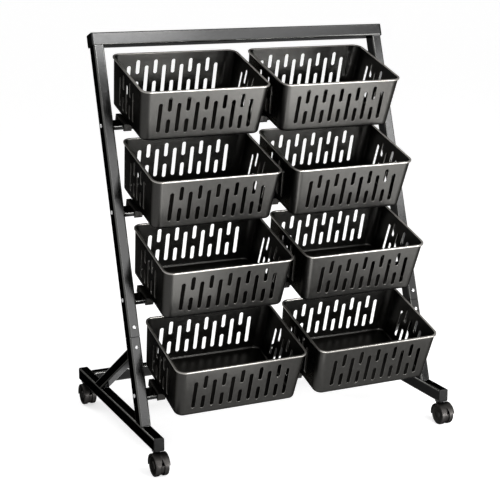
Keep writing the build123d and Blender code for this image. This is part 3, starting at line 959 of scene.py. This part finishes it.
inner_steel = finish(
    "inner_steel", (0.38, 0.38, 0.39, 1), (0.50, 0.50, 0.50, 1),
    rough=0.46, shiny=0.34, grain=900.0, relief=0.00003, graze=1.0,
)
stem_steel = finish(
    "stem_steel", (0.040, 0.040, 0.042, 1), (0.060, 0.060, 0.062, 1),
    rough=0.44, shiny=0.34, grain=900.0, relief=0.00003, graze=0.6,
)
hidden = ["crossbar_inserts", "caster_bushes"]
hidden += [f"{kind}_{side_name}" for kind in ("post_sleeve", "rail_spigot") for side_name in sides]
hidden += [f"{kind}_{name}" for kind in ("caster_stem", "caster_axle") for name, *_ in casters]
for name in hidden:
    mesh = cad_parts[name].data
    mesh.materials.clear()
    mesh.materials.append(stem_steel if name.startswith("caster_stem") else inner_steel)


# Floor, light and camera
# The rack stands on a plain pale floor. Boxes high in front are mirrored in the rail and the posts, and
# low ones in the baskets' fronts and corners. One box lights the rear. The camera has the photograph's view.

floor_reach = 30
floor_light = 0.57
room_light = 0.50
floor_corners = [
    (x * floor_reach, y * floor_reach, 0) for x, y in ((-1, -1), (1, -1), (1, 1), (-1, 1))
]
floor_mesh = bpy.data.meshes.new("floor")
floor_mesh.from_pydata(floor_corners, [], [(0, 1, 2, 3)])
floor = bpy.data.objects.new("floor", floor_mesh)
bpy.context.scene.collection.objects.link(floor)
floor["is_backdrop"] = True
floor_paint = bpy.data.materials.new("floor_paint")
floor_paint.use_nodes = True
tree = floor_paint.node_tree
paint = tree.nodes["Principled BSDF"]
paint.inputs["Base Color"].default_value = (0.80, 0.80, 0.80, 1)
paint.inputs["Roughness"].default_value = 0.9
paint.inputs["Specular IOR Level"].default_value = 0.1
paint.inputs["Emission Color"].default_value = (1, 1, 1, 1)
floor_mesh.materials.append(floor_paint)


def seen_rays(tree):
    """One for rays from the camera, a mirror or a glass, and nothing for the rest."""
    rays = node(tree, "LightPath", {})
    either = node(tree, "Math", {0: rays["Is Camera Ray"], 1: rays["Is Glossy Ray"]}, operation="MAXIMUM")[0]
    return node(tree, "Math", {0: either, 1: rays["Is Transmission Ray"]}, operation="MAXIMUM")[0]


glow = node(tree, "MapRange", {"Value": seen_rays(tree), "To Min": 0.0, "To Max": floor_light})[0]
tree.links.new(glow, paint.inputs["Emission Strength"])

world = bpy.data.worlds.new("studio")
bpy.context.scene.world = world
world.use_nodes = True
tree = world.node_tree
strength = node(tree, "MapRange", {"Value": seen_rays(tree), "To Min": room_light, "To Max": 1.0})[0]
tree.links.new(strength, tree.nodes["Background"].inputs["Strength"])
tree.nodes["Background"].inputs["Color"].default_value = (1, 1, 1, 1)

# Each lamp: name, place, the point it faces, width, height and power.
lamps = (
    ("rail_box", (0.62, -3.0, 3.25), (-0.3, 0.0, 2.3), 1.3, 0.42, 36),
    ("rail_fill", (1.95, -3.0, 3.25), (0.2, 0.0, 2.3), 1.3, 0.42, 11),
    ("left_box", (0.50, -3.0, 1.60), (0.0, 0.0, 1.0), 0.6, 1.7, 20),
    ("right_box", (2.50, -3.0, 2.40), (0.4, 0.0, 1.0), 0.5, 0.9, 22),
    ("right_fill", (2.34, -3.0, 1.50), (0.2, 0.0, 0.8), 0.6, 0.9, 4),
    ("low_strip", (0.60, -1.5, 0.16), (0.1, 0.0, 1.0), 1.2, 0.26, 44),
    ("low_box", (0.88, -0.93, 0.05), (0.88, -0.83, 1.0), 0.75, 0.70, 5.0),
    ("corner_strip", (-0.18, -0.80, 0.05), (-0.18, -0.70, 1.0), 0.32, 0.50, 4.0),
    ("rear_box", (-1.7, 2.9, 2.3), (0.0, 0.2, 0.7), 1.6, 1.4, 40),
)
for name, place, aim, width, height, power in lamps:
    lamp = bpy.data.lights.new(name, "AREA")
    lamp.shape = "RECTANGLE"
    lamp.size, lamp.size_y, lamp.energy = width, height, power
    holder = bpy.data.objects.new(name, lamp)
    holder.location = place
    holder.rotation_mode = "QUATERNION"
    holder.rotation_quaternion = (Vector(aim) - Vector(place)).to_track_quat("-Z", "Y")
    holder.visible_camera = False
    bpy.context.scene.collection.objects.link(holder)

azimuth, elevation = radians(-25.154), radians(11.365)
view_centre = Vector((-0.0372, base_front + 0.3362, base_top + 0.5981))
view_distance = 4.0742
sensor_width = 36.0
picture_width, focal_pixels = 500, 1292.57
picture_shift = -0.1
back = Vector((sin(azimuth) * cos(elevation), -cos(azimuth) * cos(elevation), sin(elevation)))
view = bpy.data.cameras.new("camera")
view.sensor_width = sensor_width
view.lens = sensor_width * focal_pixels / picture_width
view.shift_y = picture_shift
camera = bpy.data.objects.new("camera", view)
camera.location = view_centre + back * view_distance
camera.rotation_mode = "QUATERNION"
camera.rotation_quaternion = (-back).to_track_quat("-Z", "Y")
bpy.context.scene.collection.objects.link(camera)
bpy.context.scene.camera = camera
bpy.context.scene.view_settings.view_transform = "Standard"

low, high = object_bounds()
